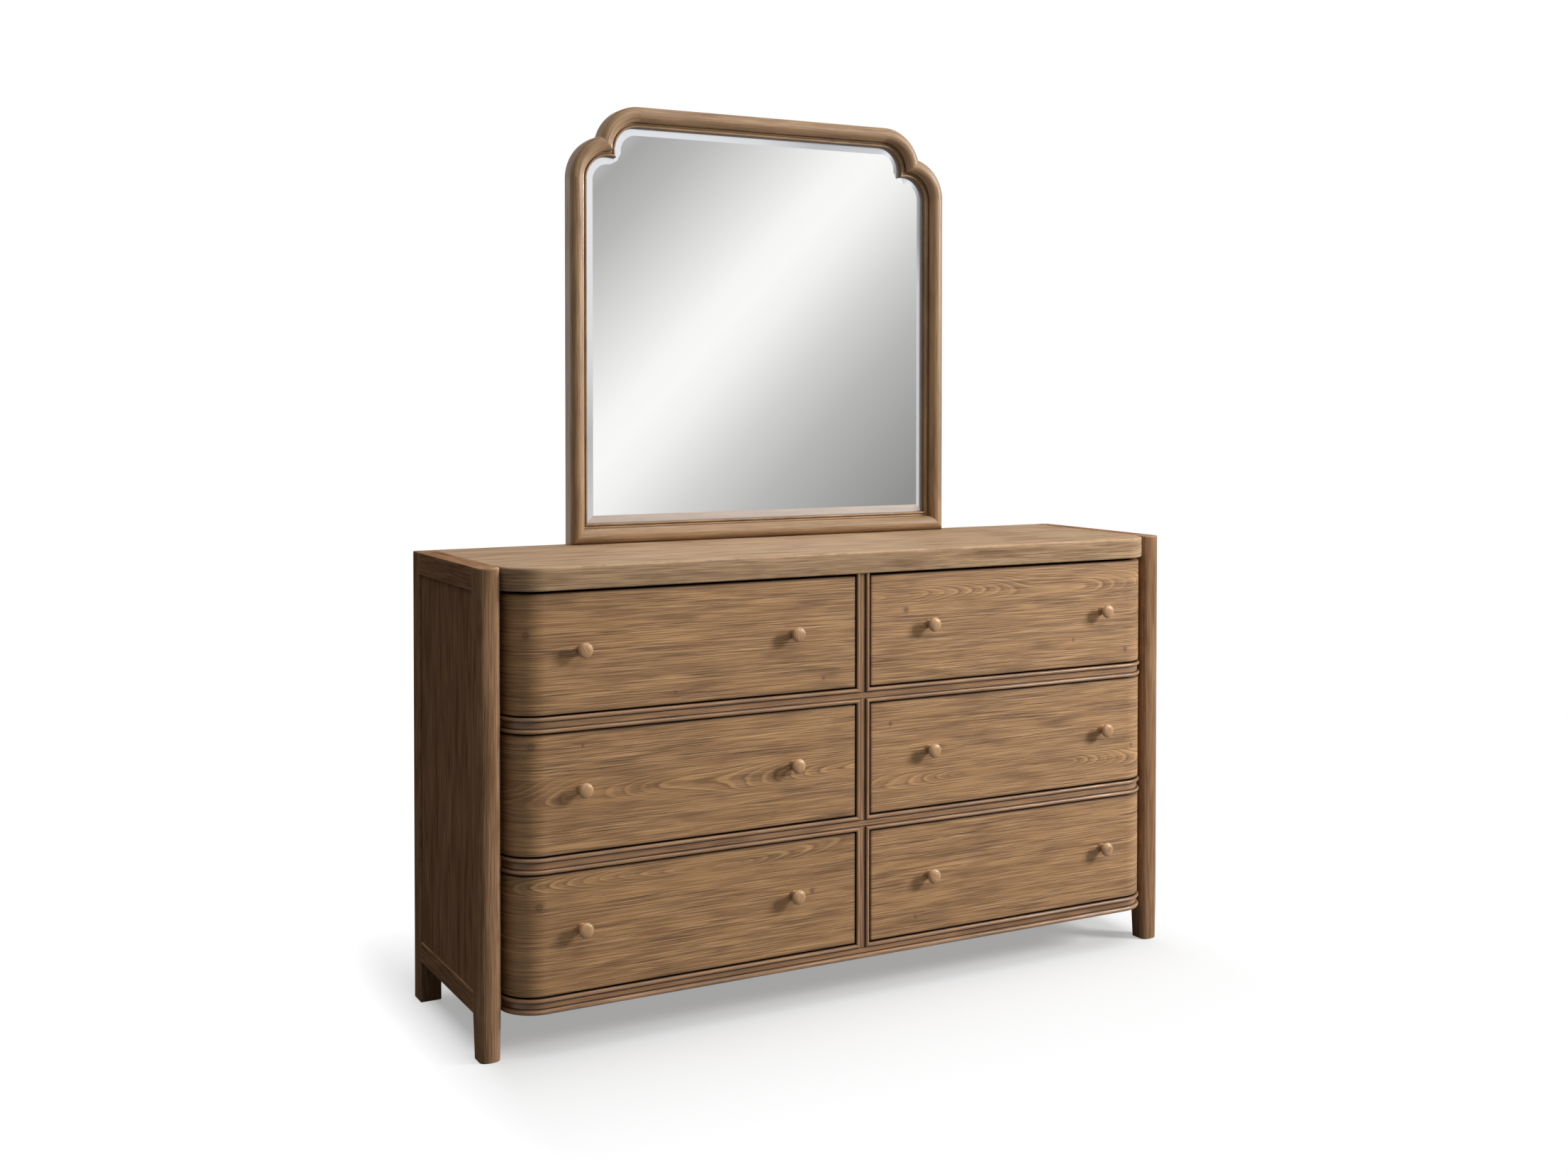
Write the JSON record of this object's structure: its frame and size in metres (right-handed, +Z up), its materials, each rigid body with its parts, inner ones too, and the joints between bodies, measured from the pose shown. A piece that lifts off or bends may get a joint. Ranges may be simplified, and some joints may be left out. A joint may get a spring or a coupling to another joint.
{
  "type": "dresser with mirror",
  "caption": "Low wide pine dresser with rounded front corners, beaded rails and sliding drawers, with a bevelled mirror in a moulded frame standing on its top.",
  "frame": {"origin": "on the floor under the middle of the overall box: halfway across the width and halfway between the knob faces and the backs of the mirror supports", "axes": "+X to the right seen from the front, the drawers open towards -Y, +Z up"},
  "size_m": [1.676, 0.511, 1.934],
  "materials": {
    "stained_pine": "satin",
    "inner_pine": "matte",
    "panel_board": "matte",
    "silvered_glass": "polished",
    "screw_steel": "zinc"
  },
  "bodies": {
    "case": {"front_leg_left": "stained_pine", "front_leg_right": "stained_pine", "rear_leg_left": "stained_pine", "rear_leg_right": "stained_pine", "side_top_rail_left": "stained_pine", "side_top_rail_right": "stained_pine", "side_bottom_rail_left": "stained_pine", "side_bottom_rail_right": "stained_pine", "side_panel_left": "stained_pine", "side_panel_right": "stained_pine", "top_board": "stained_pine", "upper_rail": "stained_pine", "lower_rail": "stained_pine", "base_rail": "stained_pine", "centre_stiles": "stained_pine", "centre_partition": "inner_pine", "back_panel": "panel_board", "back_rails": "inner_pine", "top_cleats": "inner_pine", "drawer_runners": "inner_pine", "mirror_stile_left": "stained_pine", "mirror_stile_right": "stained_pine", "mirror_top_rail": "stained_pine", "mirror_bottom_rail": "stained_pine", "mirror_shoulders": "stained_pine", "mirror_glass": "silvered_glass", "mirror_backing": "panel_board", "mirror_support_left": "inner_pine", "mirror_support_right": "inner_pine", "mirror_screws": "screw_steel"},
    "upper_left_drawer": {"drawer_1_front_left": "stained_pine", "drawer_1_sides_left": "inner_pine", "drawer_1_back_left": "inner_pine", "drawer_1_bottom_left": "panel_board", "drawer_1_knobs_left": "stained_pine"},
    "upper_right_drawer": {"drawer_1_front_right": "stained_pine", "drawer_1_sides_right": "inner_pine", "drawer_1_back_right": "inner_pine", "drawer_1_bottom_right": "panel_board", "drawer_1_knobs_right": "stained_pine"},
    "middle_left_drawer": {"drawer_2_front_left": "stained_pine", "drawer_2_sides_left": "inner_pine", "drawer_2_back_left": "inner_pine", "drawer_2_bottom_left": "panel_board", "drawer_2_knobs_left": "stained_pine"},
    "middle_right_drawer": {"drawer_2_front_right": "stained_pine", "drawer_2_sides_right": "inner_pine", "drawer_2_back_right": "inner_pine", "drawer_2_bottom_right": "panel_board", "drawer_2_knobs_right": "stained_pine"},
    "lower_left_drawer": {"drawer_3_front_left": "stained_pine", "drawer_3_sides_left": "inner_pine", "drawer_3_back_left": "inner_pine", "drawer_3_bottom_left": "panel_board", "drawer_3_knobs_left": "stained_pine"},
    "lower_right_drawer": {"drawer_3_front_right": "stained_pine", "drawer_3_sides_right": "inner_pine", "drawer_3_back_right": "inner_pine", "drawer_3_bottom_right": "panel_board", "drawer_3_knobs_right": "stained_pine"}
  },
  "joints": [
    {"name": "upper_left_drawer_slide", "type": "slide", "parent": "case", "child": "upper_left_drawer", "axis": [0, -1, 0], "range_m": [0, 0.33]},
    {"name": "upper_right_drawer_slide", "type": "slide", "parent": "case", "child": "upper_right_drawer", "axis": [0, -1, 0], "range_m": [0, 0.33]},
    {"name": "middle_left_drawer_slide", "type": "slide", "parent": "case", "child": "middle_left_drawer", "axis": [0, -1, 0], "range_m": [0, 0.33]},
    {"name": "middle_right_drawer_slide", "type": "slide", "parent": "case", "child": "middle_right_drawer", "axis": [0, -1, 0], "range_m": [0, 0.33]},
    {"name": "lower_left_drawer_slide", "type": "slide", "parent": "case", "child": "lower_left_drawer", "axis": [0, -1, 0], "range_m": [0, 0.33]},
    {"name": "lower_right_drawer_slide", "type": "slide", "parent": "case", "child": "lower_right_drawer", "axis": [0, -1, 0], "range_m": [0, 0.33]}
  ]
}
